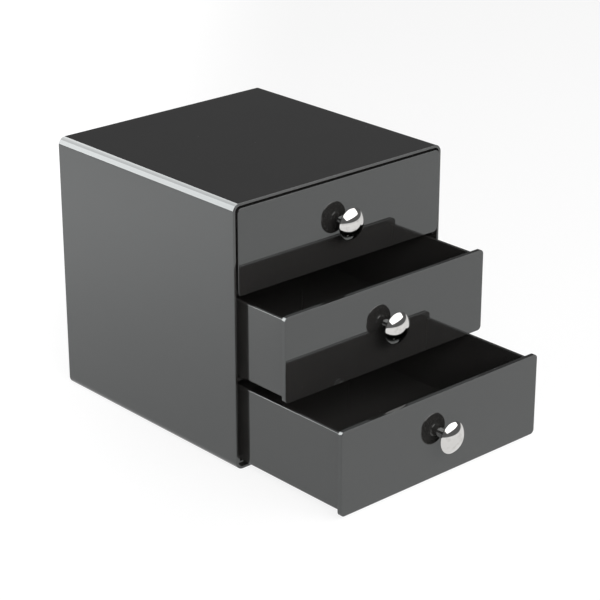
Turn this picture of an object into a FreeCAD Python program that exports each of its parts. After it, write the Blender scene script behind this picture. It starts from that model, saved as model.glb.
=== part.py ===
"""Three-drawer nail polish organizer: a moulded cube case with sliding drawers.

Frame: the origin is the centre of the case's underside, X runs to the right, the drawers open
towards -Y and Z is up.  Every driving dimension is in millimetres in the sheet "Sizes".
"""
import FreeCAD, Part
import math
import os

import Sketcher

Vector = FreeCAD.Vector

DRIVING_SIZES = {
    # Case: a rounded sleeve, closed at the rear by a flat plate.
    "case_width": 165.1,
    "case_depth": 165.1,
    "case_height": 165.1,
    "case_wall": 1.8,
    "case_corner": 5.0,
    "case_rim_ease": 0.4,
    "back_thick": 2.2,
    "back_inset": 0.5,
    "bond_gap": 0.1,
    # Divider shelves, the ledges they are bonded to, and what guides the trays.
    "shelf_thick": 2.0,
    "ledge_depth": 1.6,
    "ledge_height": 2.0,
    "runner_width": 8.0,
    "guide_height": 4.0,
    "guide_lead_in": 1.0,
    "guide_gap": 0.5,
    "slide_gap": 0.3,
    "stop_gap": 0.3,
    # Drawer fronts.
    "front_thick": 3.0,
    "front_side_gap": 0.8,
    "front_level_gap": 1.0,
    "front_corner": 2.8,
    "front_ease": 0.5,
    "front_proud": 1.0,
    # How far a front reaches past its tray.
    "side_overhang": 2.7,
    "drop_overhang": 1.6,
    "rise_overhang": 3.0,
    # Trays.
    "tray_wall": 2.0,
    "tray_floor": 2.0,
    "tray_corner": 3.0,
    "tray_edge": 1.2,
    "tray_floor_fillet": 1.0,
    "tray_rim_ease": 0.5,
    "tray_rear_gap": 4.0,
    # Knobs.
    "knob_diameter": 19.6,
    "knob_neck": 6.0,
    "knob_back": 7.2,
    "knob_reach": 12.5,
    "knob_rim": 0.7,
    "knob_flare": 1.5,
    "knob_bore_depth": 7.5,
    # Knob screws and washers.
    "screw_diameter": 4.0,
    "screw_length": 12.0,
    "screw_tip": 0.5,
    "screw_head": 7.2,
    "screw_head_height": 2.4,
    "screw_head_ease": 0.7,
    "recess_length": 4.0,
    "recess_width": 1.0,
    "recess_depth": 1.4,
    "thread_clearance": 0.05,
    "hole_clearance": 0.25,
    "washer_diameter": 9.0,
    "washer_thick": 0.8,
    # How far each drawer stands open.
    "bottom_pull": 85.5,
    "middle_pull": 39.2,
    "top_pull": 0.0,
}

LEVELS = ("bottom", "middle", "top")

# Places that several pieces share, as expressions over the sheet's cells.
INNER_HALF = "(Sizes.case_width / 2 - Sizes.case_wall)"
INNER_HEIGHT = "(Sizes.case_height - 2 * Sizes.case_wall)"
INNER_CORNER = "(Sizes.case_corner - Sizes.case_wall)"
FRONT_HALF = f"({INNER_HALF} - Sizes.front_side_gap)"
FRONT_HEIGHT = f"(({INNER_HEIGHT} - {len(LEVELS) + 1} * Sizes.front_level_gap) / {len(LEVELS)})"
FRONT_FACE = "(-Sizes.case_depth / 2 - Sizes.front_proud)"
TRAY_HALF = f"({FRONT_HALF} - Sizes.side_overhang)"
TRAY_HEIGHT = f"({FRONT_HEIGHT} - Sizes.drop_overhang - Sizes.rise_overhang)"
GUIDE_FACE = f"({TRAY_HALF} + Sizes.guide_gap)"
RAIL_START = "(Sizes.front_thick - Sizes.front_proud + Sizes.stop_gap)"
BAY_DEPTH = "(Sizes.case_depth - Sizes.back_inset - Sizes.back_thick)"
RAIL_LENGTH = f"({BAY_DEPTH} - {RAIL_START} - Sizes.bond_gap)"
TRAY_DEPTH = f"({BAY_DEPTH} - Sizes.front_thick + Sizes.front_proud - Sizes.tray_rear_gap)"
SCREW_HOLE = "(Sizes.screw_diameter + 2 * Sizes.hole_clearance)"

TOLERANCE = 1e-4

doc = FreeCAD.newDocument("DrawerOrganizer")
sheet = doc.addObject("Spreadsheet::Sheet", "Sizes")


def fill_sheet():
    """Write every driving size into the sheet as a plain number with its alias."""
    for row, (alias, size) in enumerate(DRIVING_SIZES.items(), start=1):
        sheet.set(f"A{row}", alias)
        sheet.set(f"B{row}", str(size))
        sheet.setAlias(f"B{row}", alias)
    doc.recompute()


def value(expression):
    """Number that an expression over the sheet gives."""
    return float(sheet.evalExpression(expression))


def front_base(level):
    """Height of the lower edge of the drawer front on one level."""
    return (f"(Sizes.case_wall + Sizes.front_level_gap"
            f" + {level} * ({FRONT_HEIGHT} + Sizes.front_level_gap))")


def shelf_base(level):
    """Height of the underside of what carries the tray on one level."""
    return f"({front_base(level)} + Sizes.drop_overhang - Sizes.slide_gap - Sizes.shelf_thick)"


def front_face(level):
    """Y of the outer face of the drawer front on one level, as it stands open."""
    return f"({FRONT_FACE} - Sizes.{LEVELS[level]}_pull)"


def new_body(name):
    """Empty body whose Label is the piece's name."""
    body = doc.addObject("PartDesign::Body", name)
    body.Label = name
    return body


def place(piece, x="0", y="0", z="0"):
    """Bind a piece's position to expressions."""
    for axis, expression in zip("xyz", (x, y, z)):
        piece.setExpression(f"Placement.Base.{axis}", expression)


def origin_feature(body, role):
    """Plane or axis of a body's own origin."""
    return next(part for part in body.Origin.OriginFeatures if part.Role == role)


def new_sketch(body, name, role, offset="0"):
    """Sketch on one of the body's origin planes, moved along the plane's normal."""
    sketch = body.newObject("Sketcher::SketchObject", name)
    sketch.AttachmentSupport = [(origin_feature(body, role), "")]
    sketch.MapMode = "FlatFace"
    sketch.setExpression("AttachmentOffset.Base.z", offset)
    return sketch


def bind(sketch, kind, *where):
    """Add a dimension whose last entry is an expression, and bind it."""
    *geometry, expression = where
    index = sketch.addConstraint(Sketcher.Constraint(kind, *geometry, value(expression)))
    sketch.setExpression(f"Constraints[{index}]", expression)


def polygon(sketch, corners):
    """Closed outline of straight lines through corners given as expression pairs."""
    points = [Vector(value(x), value(y), 0) for x, y in corners]
    first = sketch.GeometryCount
    count = len(points)
    for index in range(count):
        following = (index + 1) % count
        sketch.addGeometry(Part.LineSegment(points[index], points[following]), False)
    for index in range(count):
        following = (index + 1) % count
        joint = Sketcher.Constraint("Coincident", first + index, 2, first + following, 1)
        sketch.addConstraint(joint)
    for index, (x, y) in enumerate(corners):
        bind(sketch, "DistanceX", -1, 1, first + index, 1, x)
        bind(sketch, "DistanceY", -1, 1, first + index, 1, y)


def rectangle(sketch, left, right, low, high):
    """Rectangle between four expressions."""
    polygon(sketch, [(left, low), (right, low), (right, high), (left, high)])


def circle(sketch, x, y, diameter):
    """Circle bound to three expressions."""
    centre = Vector(value(x), value(y), 0)
    index = sketch.addGeometry(Part.Circle(centre, Vector(0, 0, 1), value(diameter) / 2), False)
    bind(sketch, "DistanceX", -1, 1, index, 3, x)
    bind(sketch, "DistanceY", -1, 1, index, 3, y)
    bind(sketch, "Diameter", index, diameter)


def pad(body, name, sketch, length, backward=False):
    """Pad a sketch along its normal, or against it."""
    feature = body.newObject("PartDesign::Pad", name)
    feature.Profile = sketch
    feature.setExpression("Length", length)
    feature.Reversed = backward
    doc.recompute()
    return feature


def pocket(body, name, sketch, depth, along_normal=False):
    """Cut a sketch into the body against its normal, or along it, and see that it cut."""
    before = body.Shape.Volume
    feature = body.newObject("PartDesign::Pocket", name)
    feature.Profile = sketch
    feature.setExpression("Length", depth)
    feature.Reversed = along_normal
    doc.recompute()
    if feature.Shape.Volume > before - TOLERANCE:
        raise RuntimeError(f"{body.Label}: {name} removed nothing")
    return feature


def edges_where(feature, test):
    """Names of a feature's edges that pass a test."""
    return [f"Edge{index}" for index, edge in enumerate(feature.Shape.Edges, start=1) if test(edge)]


def fillet(body, name, feature, radius, test):
    """Round the edges of the last feature that pass a test."""
    return dress(body, "PartDesign::Fillet", name, feature, "Radius", radius, test)


def chamfer(body, name, feature, size, test):
    """Bevel the edges of the last feature that pass a test."""
    return dress(body, "PartDesign::Chamfer", name, feature, "Size", size, test)


def dress(body, kind, name, feature, property_name, size, test):
    """Fillet or chamfer on the edges that pass a test."""
    dressed = body.newObject(kind, name)
    dressed.Base = (feature, edges_where(feature, test))
    dressed.setExpression(property_name, size)
    doc.recompute()
    return dressed


def lies_at(edge, axis, place_on_axis):
    """Whether a whole edge lies at one place along an axis."""
    box = edge.BoundBox
    low = getattr(box, f"{axis}Min")
    high = getattr(box, f"{axis}Max")
    return abs(low - place_on_axis) < TOLERANCE and abs(high - place_on_axis) < TOLERANCE


def runs_along(edge, axis):
    """Whether an edge is straight and parallel to an axis."""
    if not isinstance(edge.Curve, Part.Line):
        return False
    return abs(abs(getattr(edge.Curve.Direction, axis)) - 1) < TOLERANCE


def reaches(edge, axis, distance):
    """Whether an edge lies at a distance from the middle plane, on either side."""
    middle = edge.BoundBox.Center
    return abs(abs(getattr(middle, axis)) - distance) < TOLERANCE


def make_case_shell():
    """Rounded sleeve with floor runners and shelf ledges along its side walls."""
    body = new_body("case_shell")
    half_width = value("Sizes.case_width / 2")
    front = "Sizes.case_depth / 2"

    outline = new_sketch(body, "CaseOutline", "XZ_Plane", front)
    rectangle(outline, "-Sizes.case_width / 2", "Sizes.case_width / 2", "0", "Sizes.case_height")
    block = pad(body, "CaseBlock", outline, "Sizes.case_depth", backward=True)
    rounded = fillet(body, "LongEdges", block, "Sizes.case_corner",
                     lambda edge: runs_along(edge, "y") and reaches(edge, "x", half_width))

    opening = new_sketch(body, "CaseOpening", "XZ_Plane", front)
    rectangle(opening, f"-{INNER_HALF}", INNER_HALF,
              "Sizes.case_wall", "Sizes.case_height - Sizes.case_wall")
    hollow = pocket(body, "CaseHollow", opening, "Sizes.case_depth")
    inner_half = value(INNER_HALF)
    inner = fillet(body, "InnerLongEdges", hollow, INNER_CORNER,
                   lambda edge: runs_along(edge, "y") and reaches(edge, "x", inner_half))

    front_plane = value("-Sizes.case_depth / 2")
    chamfer(body, "FrontRim", inner, "Sizes.case_rim_ease",
            lambda edge: lies_at(edge, "Y", front_plane))

    rails = new_sketch(body, "RailProfiles", "XZ_Plane", f"{front} - {RAIL_START}")
    runner_edge = f"({GUIDE_FACE} - Sizes.runner_width)"
    runner_top = f"({shelf_base(0)} + Sizes.shelf_thick)"
    guide_top = f"({runner_top} + Sizes.guide_height)"
    polygon(rails, [(INNER_HALF, "Sizes.case_wall"), (INNER_HALF, guide_top),
                    (GUIDE_FACE, guide_top), (GUIDE_FACE, runner_top),
                    (runner_edge, runner_top), (runner_edge, "Sizes.case_wall")])
    for level in range(1, len(LEVELS)):
        ledge_top = f"({shelf_base(level)} - Sizes.bond_gap)"
        rectangle(rails, f"{INNER_HALF} - Sizes.ledge_depth", INNER_HALF,
                  f"{ledge_top} - Sizes.ledge_height", ledge_top)
    right_rails = pad(body, "RightRails", rails, RAIL_LENGTH, backward=True)

    left_rails = body.newObject("PartDesign::Mirrored", "LeftRails")
    left_rails.Originals = [right_rails]
    left_rails.MirrorPlane = (origin_feature(body, "YZ_Plane"), [""])
    body.Tip = left_rails
    return body


def make_back_panel():
    """Flat plate bonded into the rear end of the sleeve."""
    body = new_body("back_panel")
    half = f"({INNER_HALF} - Sizes.bond_gap)"
    sketch = new_sketch(body, "BackOutline", "XZ_Plane")
    rectangle(sketch, f"-{half}", half, "0", f"{INNER_HEIGHT} - 2 * Sizes.bond_gap")
    plate = pad(body, "BackPlate", sketch, "Sizes.back_thick", backward=True)
    half_width = value(half)
    fillet(body, "BackCorners", plate, f"{INNER_CORNER} - Sizes.bond_gap",
           lambda edge: runs_along(edge, "y") and reaches(edge, "x", half_width))
    place(body, y="Sizes.case_depth / 2 - Sizes.back_inset - Sizes.back_thick",
          z="Sizes.case_wall + Sizes.bond_gap")
    return body


def make_shelf(name, level):
    """Divider plate with a guide standing along each side."""
    body = new_body(name)
    side = f"({INNER_HALF} - Sizes.bond_gap)"
    guide_top = "(Sizes.shelf_thick + Sizes.guide_height)"
    profile = new_sketch(body, f"{name}_profile", "XZ_Plane")
    polygon(profile, [(f"-{side}", "0"), (side, "0"), (side, guide_top), (GUIDE_FACE, guide_top),
                      (GUIDE_FACE, "Sizes.shelf_thick"), (f"-{GUIDE_FACE}", "Sizes.shelf_thick"),
                      (f"-{GUIDE_FACE}", guide_top), (f"-{side}", guide_top)])
    plate = pad(body, f"{name}_plate", profile, RAIL_LENGTH, backward=True)
    guide_face = value(GUIDE_FACE)
    chamfer(body, f"{name}_lead_in", plate, "Sizes.guide_lead_in",
            lambda edge: (runs_along(edge, "z") and lies_at(edge, "Y", 0)
                          and reaches(edge, "x", guide_face)))
    place(body, y=f"-Sizes.case_depth / 2 + {RAIL_START}", z=shelf_base(level))
    return body


def make_front(name, level):
    """Drawer front: a plate with rounded corners, eased face edges and a screw hole."""
    body = new_body(name)
    sketch = new_sketch(body, f"{name}_outline", "XZ_Plane")
    rectangle(sketch, f"-{FRONT_HALF}", FRONT_HALF, "0", FRONT_HEIGHT)
    plate = pad(body, f"{name}_plate", sketch, "Sizes.front_thick", backward=True)
    half_width = value(FRONT_HALF)
    rounded = fillet(body, f"{name}_corners", plate, "Sizes.front_corner",
                     lambda edge: runs_along(edge, "y") and reaches(edge, "x", half_width))
    chamfer(body, f"{name}_face_edge", rounded, "Sizes.front_ease",
            lambda edge: lies_at(edge, "Y", 0))
    hole = new_sketch(body, f"{name}_hole_circle", "XZ_Plane")
    circle(hole, "0", f"{FRONT_HEIGHT} / 2", SCREW_HOLE)
    pocket(body, f"{name}_hole", hole, "Sizes.front_thick")
    place(body, y=front_face(level), z=front_base(level))
    return body


def make_tray(name, level):
    """Open box with rounded rear corners, eased rim and a screw hole in its front wall."""
    body = new_body(name)
    outline = new_sketch(body, f"{name}_outline", "XY_Plane")
    rectangle(outline, f"-{TRAY_HALF}", TRAY_HALF, "0", TRAY_DEPTH)
    block = pad(body, f"{name}_block", outline, TRAY_HEIGHT)
    depth = value(TRAY_DEPTH)
    height = value(TRAY_HEIGHT)
    rear = fillet(body, f"{name}_rear_corners", block, "Sizes.tray_corner",
                  lambda edge: runs_along(edge, "z") and lies_at(edge, "Y", depth))
    underside = fillet(body, f"{name}_lower_edges", rear, "Sizes.tray_edge",
                       lambda edge: lies_at(edge, "Z", 0) and not lies_at(edge, "Y", 0))

    cavity = new_sketch(body, f"{name}_cavity_outline", "XY_Plane", TRAY_HEIGHT)
    inner = f"({TRAY_HALF} - Sizes.tray_wall)"
    rectangle(cavity, f"-{inner}", inner, "Sizes.tray_wall", f"{TRAY_DEPTH} - Sizes.tray_wall")
    hollow = pocket(body, f"{name}_cavity", cavity, f"{TRAY_HEIGHT} - Sizes.tray_floor")
    inner_half = value(inner)
    corners = fillet(body, f"{name}_inner_corners", hollow, "Sizes.tray_corner - Sizes.tray_wall",
                     lambda edge: runs_along(edge, "z") and reaches(edge, "x", inner_half))
    floor = value("Sizes.tray_floor")
    inside = fillet(body, f"{name}_floor_fillet", corners, "Sizes.tray_floor_fillet",
                    lambda edge: lies_at(edge, "Z", floor))
    chamfer(body, f"{name}_rim", inside, "Sizes.tray_rim_ease",
            lambda edge: lies_at(edge, "Z", height) and not lies_at(edge, "Y", 0))

    hole = new_sketch(body, f"{name}_hole_circle", "XZ_Plane")
    circle(hole, "0", f"{FRONT_HEIGHT} / 2 - Sizes.drop_overhang", SCREW_HOLE)
    pocket(body, f"{name}_hole", hole, "2 * Sizes.tray_wall")
    place(body, y=f"{front_face(level)} + Sizes.front_thick",
          z=f"{front_base(level)} + Sizes.drop_overhang")
    return body


def knob_profile(sketch):
    """Half outline of the knob: neck, flare, flat back, round rim and domed face."""
    neck = value("Sizes.knob_neck / 2")
    flare = value("Sizes.knob_flare")
    back = value("Sizes.knob_back")
    rim = value("Sizes.knob_rim")
    reach = value("Sizes.knob_reach")
    rim_x = value("Sizes.knob_diameter / 2") - rim
    rim_y = back + rim
    # The dome's centre is on the axis and the dome touches the rim's circle from outside.
    rise = reach - rim_y
    dome = (rim_x ** 2 + rise ** 2 - rim ** 2) / (2 * (rise - rim))
    dome_y = reach - dome
    tilt = math.atan2(rim_y - dome_y, rim_x)

    base_line, neck_line, flare_arc, back_line, rim_arc, dome_arc, axis_line = range(7)
    meet = Vector(rim_x + rim * math.cos(tilt), -rim_y - rim * math.sin(tilt), 0)
    upright = Vector(0, 0, 1)
    sketch.addGeometry([
        Part.LineSegment(Vector(0, 0, 0), Vector(neck, 0, 0)),
        Part.LineSegment(Vector(neck, 0, 0), Vector(neck, flare - back, 0)),
        Part.ArcOfCircle(Part.Circle(Vector(neck + flare, flare - back, 0), upright, flare),
                         math.pi, 1.5 * math.pi),
        Part.LineSegment(Vector(neck + flare, -back, 0), Vector(rim_x, -back, 0)),
        Part.ArcOfCircle(Part.Circle(Vector(rim_x, -rim_y, 0), upright, rim),
                         -tilt, 0.5 * math.pi),
        Part.ArcOfCircle(Part.Circle(Vector(0, -dome_y, 0), upright, dome),
                         -0.5 * math.pi, math.atan2(meet.y + dome_y, meet.x)),
        Part.LineSegment(Vector(0, -reach, 0), Vector(0, 0, 0)),
    ], False)
    for kind, *where in (
            ("Coincident", base_line, 1, -1, 1),
            ("Coincident", base_line, 2, neck_line, 1),
            ("Tangent", neck_line, 2, flare_arc, 1),
            ("Tangent", flare_arc, 2, back_line, 1),
            ("Tangent", back_line, 2, rim_arc, 2),
            ("Tangent", rim_arc, 1, dome_arc, 2),
            ("Coincident", dome_arc, 1, axis_line, 1),
            ("Coincident", axis_line, 2, base_line, 1),
            ("Horizontal", base_line),
            ("Vertical", neck_line),
            ("Horizontal", back_line),
            ("Vertical", axis_line),
            ("PointOnObject", dome_arc, 3, -2)):
        sketch.addConstraint(Sketcher.Constraint(kind, *where))
    bind(sketch, "DistanceX", -1, 1, neck_line, 1, "Sizes.knob_neck / 2")
    bind(sketch, "Radius", flare_arc, "Sizes.knob_flare")
    bind(sketch, "DistanceY", -1, 1, back_line, 1, "-Sizes.knob_back")
    bind(sketch, "Radius", rim_arc, "Sizes.knob_rim")
    bind(sketch, "DistanceX", -1, 1, rim_arc, 3, "Sizes.knob_diameter / 2 - Sizes.knob_rim")
    bind(sketch, "DistanceY", -1, 1, dome_arc, 1, "-Sizes.knob_reach")


def revolve(body, name, sketch):
    """Turn a half outline about the body's Y axis."""
    feature = body.newObject("PartDesign::Revolution", name)
    feature.Profile = sketch
    feature.ReferenceAxis = (sketch, ["V_Axis"])
    feature.Angle = 360
    doc.recompute()
    return feature


def knob_height(level):
    """Height of the knob's axis on one level: the middle of the front."""
    return f"({front_base(level)} + {FRONT_HEIGHT} / 2)"


def make_knob(name, level):
    """Mushroom knob turned about Y, with a bore for the screw."""
    body = new_body(name)
    half_outline = new_sketch(body, f"{name}_half_outline", "XY_Plane")
    knob_profile(half_outline)
    revolve(body, f"{name}_turned", half_outline)
    mouth = new_sketch(body, f"{name}_bore_circle", "XZ_Plane")
    circle(mouth, "0", "0", "Sizes.screw_diameter + 2 * Sizes.thread_clearance")
    pocket(body, f"{name}_bore", mouth, "Sizes.knob_bore_depth", along_normal=True)
    place(body, y=front_face(level), z=knob_height(level))
    return body


def screw_seat(level):
    """Y of the face of the washer that the screw's head bears on."""
    return f"({front_face(level)} + Sizes.front_thick + Sizes.tray_wall + Sizes.washer_thick)"


def make_screw(name, level):
    """Pan-head screw with a cross recess; its shank runs towards -Y."""
    body = new_body(name)
    profile = new_sketch(body, f"{name}_half_outline", "XY_Plane")
    polygon(profile, [("0", "-Sizes.screw_length"),
                      ("Sizes.screw_diameter / 2", "-Sizes.screw_length"),
                      ("Sizes.screw_diameter / 2", "0"), ("Sizes.screw_head / 2", "0"),
                      ("Sizes.screw_head / 2", "Sizes.screw_head_height"),
                      ("0", "Sizes.screw_head_height")])
    turned = revolve(body, f"{name}_turned", profile)
    crown = value("Sizes.screw_head_height")
    head = chamfer(body, f"{name}_head_ease", turned, "Sizes.screw_head_ease",
                   lambda edge: lies_at(edge, "Y", crown))
    tip = value("-Sizes.screw_length")
    chamfer(body, f"{name}_tip", head, "Sizes.screw_tip", lambda edge: lies_at(edge, "Y", tip))
    slot = new_sketch(body, f"{name}_slot_outline", "XZ_Plane", "-Sizes.screw_head_height")
    rectangle(slot, "-Sizes.recess_length / 2", "Sizes.recess_length / 2",
              "-Sizes.recess_width / 2", "Sizes.recess_width / 2")
    first = pocket(body, f"{name}_slot", slot, "Sizes.recess_depth", along_normal=True)
    cross = body.newObject("PartDesign::PolarPattern", f"{name}_cross")
    cross.Originals = [first]
    cross.Axis = (origin_feature(body, "Y_Axis"), [""])
    cross.Angle = 90
    cross.Occurrences = 2
    body.Tip = cross
    place(body, y=screw_seat(level), z=knob_height(level))
    return body


def make_washer(name, level):
    """Flat ring between the screw's head and the tray's front wall."""
    disc = doc.addObject("Part::Cylinder", f"{name}_disc")
    disc.setExpression("Radius", "Sizes.washer_diameter / 2")
    disc.setExpression("Height", "Sizes.washer_thick")
    hole = doc.addObject("Part::Cylinder", f"{name}_hole")
    hole.setExpression("Radius", f"{SCREW_HOLE} / 2")
    hole.setExpression("Height", "Sizes.washer_thick")
    ring = doc.addObject("Part::Cut", name)
    ring.Label = name
    ring.Base = disc
    ring.Tool = hole
    ring.Placement.Rotation = FreeCAD.Rotation(Vector(1, 0, 0), 90)
    place(ring, y=screw_seat(level), z=knob_height(level))
    return ring


def make_drawer(level):
    """All pieces of the drawer on one level."""
    place_name = LEVELS[level]
    return [
        make_tray(f"tray_{place_name}", level),
        make_front(f"front_{place_name}", level),
        make_knob(f"knob_{place_name}", level),
        make_screw(f"knob_screw_{place_name}", level),
        make_washer(f"knob_washer_{place_name}", level),
    ]


def check_objects(pieces):
    """Stop if any object failed, or if a piece is not one valid solid."""
    for item in doc.Objects:
        if "Invalid" in item.State or "Error" in item.State:
            raise RuntimeError(f"{item.Name} failed: {item.State}")
    for piece in pieces:
        shape = piece.Shape
        if shape.isNull() or not shape.isValid() or len(shape.Solids) != 1:
            raise RuntimeError(f"{piece.Label} is not one valid solid")


def main():
    """Build every piece and write one STEP file for each."""
    fill_sheet()
    pieces = [
        make_case_shell(),
        make_back_panel(),
        make_shelf("shelf_lower", 1),
        make_shelf("shelf_upper", 2),
    ]
    for level in range(len(LEVELS)):
        pieces += make_drawer(level)
    doc.recompute()
    check_objects(pieces)
    os.makedirs("parts", exist_ok=True)
    for piece in pieces:
        piece.Shape.exportStep(f"parts/{piece.Label}.step")
        box = piece.Shape.BoundBox
        print(f"{piece.Label:20s} volume {piece.Shape.Volume:10.1f}"
              f"  X {box.XMin:8.2f} {box.XMax:8.2f}"
              f"  Y {box.YMin:8.2f} {box.YMax:8.2f}  Z {box.ZMin:8.2f} {box.ZMax:8.2f}")


main()
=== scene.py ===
"""Looks of a three-drawer nail polish organizer: gloss black case and drawers with chromed knobs.

Frame: metres.  X runs to the right, the drawers open towards -Y, Z is up, and the origin is the
middle of the case's underside.
"""

import logging
import math
from dataclasses import asdict, dataclass, fields
from enum import Enum
from typing import Callable, ClassVar, Iterable, Sequence

import bmesh
import bpy
from bmesh.types import BMEdge, BMesh, BMFace, BMVert
from bpy.types import Material, Node, NodeSocket, NodeTree, Object
from mathutils import Matrix, Vector


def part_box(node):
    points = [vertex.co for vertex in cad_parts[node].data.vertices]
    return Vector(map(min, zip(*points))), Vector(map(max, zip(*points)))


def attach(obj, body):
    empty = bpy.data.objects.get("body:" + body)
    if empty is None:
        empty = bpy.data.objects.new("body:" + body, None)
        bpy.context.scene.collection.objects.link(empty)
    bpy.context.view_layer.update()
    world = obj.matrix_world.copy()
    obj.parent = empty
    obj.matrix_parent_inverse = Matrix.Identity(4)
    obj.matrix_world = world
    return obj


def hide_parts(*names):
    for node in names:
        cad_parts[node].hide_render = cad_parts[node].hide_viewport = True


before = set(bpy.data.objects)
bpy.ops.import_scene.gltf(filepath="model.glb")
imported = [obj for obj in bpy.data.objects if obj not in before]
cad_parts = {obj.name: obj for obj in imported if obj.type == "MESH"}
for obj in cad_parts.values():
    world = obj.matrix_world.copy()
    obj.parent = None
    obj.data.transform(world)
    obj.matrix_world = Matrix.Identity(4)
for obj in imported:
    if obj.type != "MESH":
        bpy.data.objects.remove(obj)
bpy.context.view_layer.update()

MM = 0.001
NEAR = 1e-6  # places closer than this count as one
MERGE = NEAR / 10  # vertices closer than this are joined
SHARP = math.radians(30.0)  # an edge that turns more than this counts as sharp
CREASE = math.radians(50.0)  # an edge that turns more than this is shaded as a crease
STRAIGHT = 0.999  # least part of a face's normal along an axis that the face looks along
QUARTER_TURN = 90.0
HALF_TURN = 180.0
LOG = logging.getLogger("organizer")

Colour = tuple[float, float, float, float]
Term = NodeSocket | float | Colour


class Body(Enum):
    """Bodies that the pieces move with."""

    CASE = "case"
    BOTTOM = "drawer_bottom"
    MIDDLE = "drawer_middle"
    TOP = "drawer_top"


class Slot(Enum):
    """Material slots of the record."""

    CASE = "case_black"
    SHELF = "shelf_black"
    TRAY = "tray_black"
    FRONT = "front_black"
    KNOB = "knob_chrome"
    SCREW = "screw_steel"


class Axis(Enum):
    """Coordinate axes by their place in a vector."""

    X = 0
    Y = 1
    Z = 2


class VertexValue(Enum):
    """Values that a knob's vertices carry for its finish and its painted shade."""

    RADIUS = "turned_radius"
    BACK = "turned_back"


# ---- Node helpers ----


class NodeBench:
    """Adds and joins nodes in one node tree."""

    def __init__(self, tree: NodeTree) -> None:
        """Keep the node tree of a material, a world or a group."""
        self.tree = tree

    def add(self, kind: str, **settings: object) -> Node:
        """Add a node.

        Args:
            kind: Blender's type name of the node.
            **settings: Properties to set on it.

        Returns:
            The new node.
        """
        node = self.tree.nodes.new(kind)
        for name, setting in settings.items():
            setattr(node, name, setting)
        return node

    def feed(self, target: NodeSocket, source: Term) -> None:
        """Link a socket into another, or set a plain value on it.

        Args:
            target: Input socket.
            source: Output socket, number or colour.
        """
        if isinstance(source, NodeSocket):
            self.tree.links.new(source, target)
        else:
            target.default_value = source

    def sum_up(self, operation: str, *terms: Term, clamp: bool = False) -> NodeSocket:
        """Math node over numbers or sockets.

        Args:
            operation: Blender's name of the operation.
            *terms: Its inputs in order.
            clamp: Whether the result stays between 0 and 1.

        Returns:
            The result socket.
        """
        node = self.add("ShaderNodeMath", operation=operation, use_clamp=clamp)
        for target, term in zip(node.inputs, terms):
            self.feed(target, term)
        return node.outputs["Value"]

    def plus(self, base: Term, mask: Term, amount: Term) -> NodeSocket:
        """A value, and added to it a mask times an amount."""
        return self.sum_up("MULTIPLY_ADD", mask, amount, base)

    def position(self) -> NodeSocket:
        """Place on the piece, in metres."""
        return self.add("ShaderNodeTexCoord").outputs["Object"]

    def scaled(self, vector: NodeSocket, factor: Term) -> NodeSocket:
        """Vector times a number.

        Args:
            vector: Vector socket.
            factor: Number or socket.

        Returns:
            The scaled vector.
        """
        node = self.add("ShaderNodeVectorMath", operation="SCALE")
        self.feed(node.inputs[0], vector)
        self.feed(node.inputs["Scale"], factor)
        return node.outputs["Vector"]

    def noise(self, vector: NodeSocket, detail: float = 2.0, roughness: float = 0.5) -> NodeSocket:
        """Noise of unit size at a vector.

        Args:
            vector: Vector socket.
            detail: Octaves of the noise.
            roughness: Share that each finer octave adds.

        Returns:
            Value socket from 0 to 1.
        """
        node = self.add("ShaderNodeTexNoise")
        self.feed(node.inputs["Vector"], vector)
        node.inputs["Scale"].default_value = 1.0
        node.inputs["Detail"].default_value = detail
        node.inputs["Roughness"].default_value = roughness
        return node.outputs["Fac"]

    def ramp(self, amount: Term, low: float, high: float) -> NodeSocket:
        """Smooth step from 0 to 1.

        Args:
            amount: Driving socket.
            low: Where the step starts.
            high: Where it ends.

        Returns:
            The stepped value.
        """
        node = self.add("ShaderNodeMapRange", interpolation_type="SMOOTHSTEP")
        for name, term in (("Value", amount), ("From Min", low), ("From Max", high)):
            self.feed(node.inputs[name], term)
        return node.outputs["Result"]

    def blend(self, amount: Term, first: Term, second: Term) -> NodeSocket:
        """Mix of two colours.

        Args:
            amount: Share of the second colour.
            first: Colour or socket.
            second: Colour or socket.

        Returns:
            The mixed colour.
        """
        node = self.add("ShaderNodeMix", data_type="RGBA")
        self.feed(node.inputs["Factor"], amount)
        colours = [socket for socket in node.inputs if socket.type == "RGBA"]
        self.feed(colours[0], first)
        self.feed(colours[1], second)
        return next(socket for socket in node.outputs if socket.type == "RGBA")

    def emboss(self, shader: Node, height: NodeSocket) -> None:
        """Bump a shader's surface.

        Args:
            shader: The shader.
            height: Height of the surface, in metres.
        """
        bump = self.add("ShaderNodeBump")
        bump.inputs["Strength"].default_value = 1.0
        bump.inputs["Distance"].default_value = 1.0
        self.feed(bump.inputs["Height"], height)
        self.feed(shader.inputs["Normal"], bump.outputs["Normal"])

    def place_effect(self, group: NodeTree, position: NodeSocket, settings: object) -> NodeSocket:
        """Put a shared effect into the tree.

        Args:
            group: Node group of the effect.
            position: Place on the piece, in metres.
            settings: The effect's settings, a value for each number input of the group.

        Returns:
            What the effect puts out.
        """
        node = self.add("ShaderNodeGroup", node_tree=group)
        self.feed(node.inputs["Position"], position)
        for name, setting in asdict(settings).items():
            self.feed(node.inputs[socket_name(name)], setting)
        return node.outputs[0]


# ---- Shared effects ----


@dataclass(frozen=True)
class Ripple:
    """Waves of a moulded face and the finer peel on them, in metres."""

    wave_length: float = 0.060
    wave_depth: float = 2.2e-5
    peel_length: float = 0.0016
    peel_depth: float = 2.5e-7


@dataclass(frozen=True)
class Hairlines:
    """Fine scratches: length and spacing in metres, breadth as a share, and how plain they are."""

    length: float
    spacing: float
    breadth: float
    amount: float


@dataclass(frozen=True)
class Dust:
    """Specks: size of a cell in metres, greatest radius in cells, and share of cells in use."""

    cell: float
    speck: float
    amount: float


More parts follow.
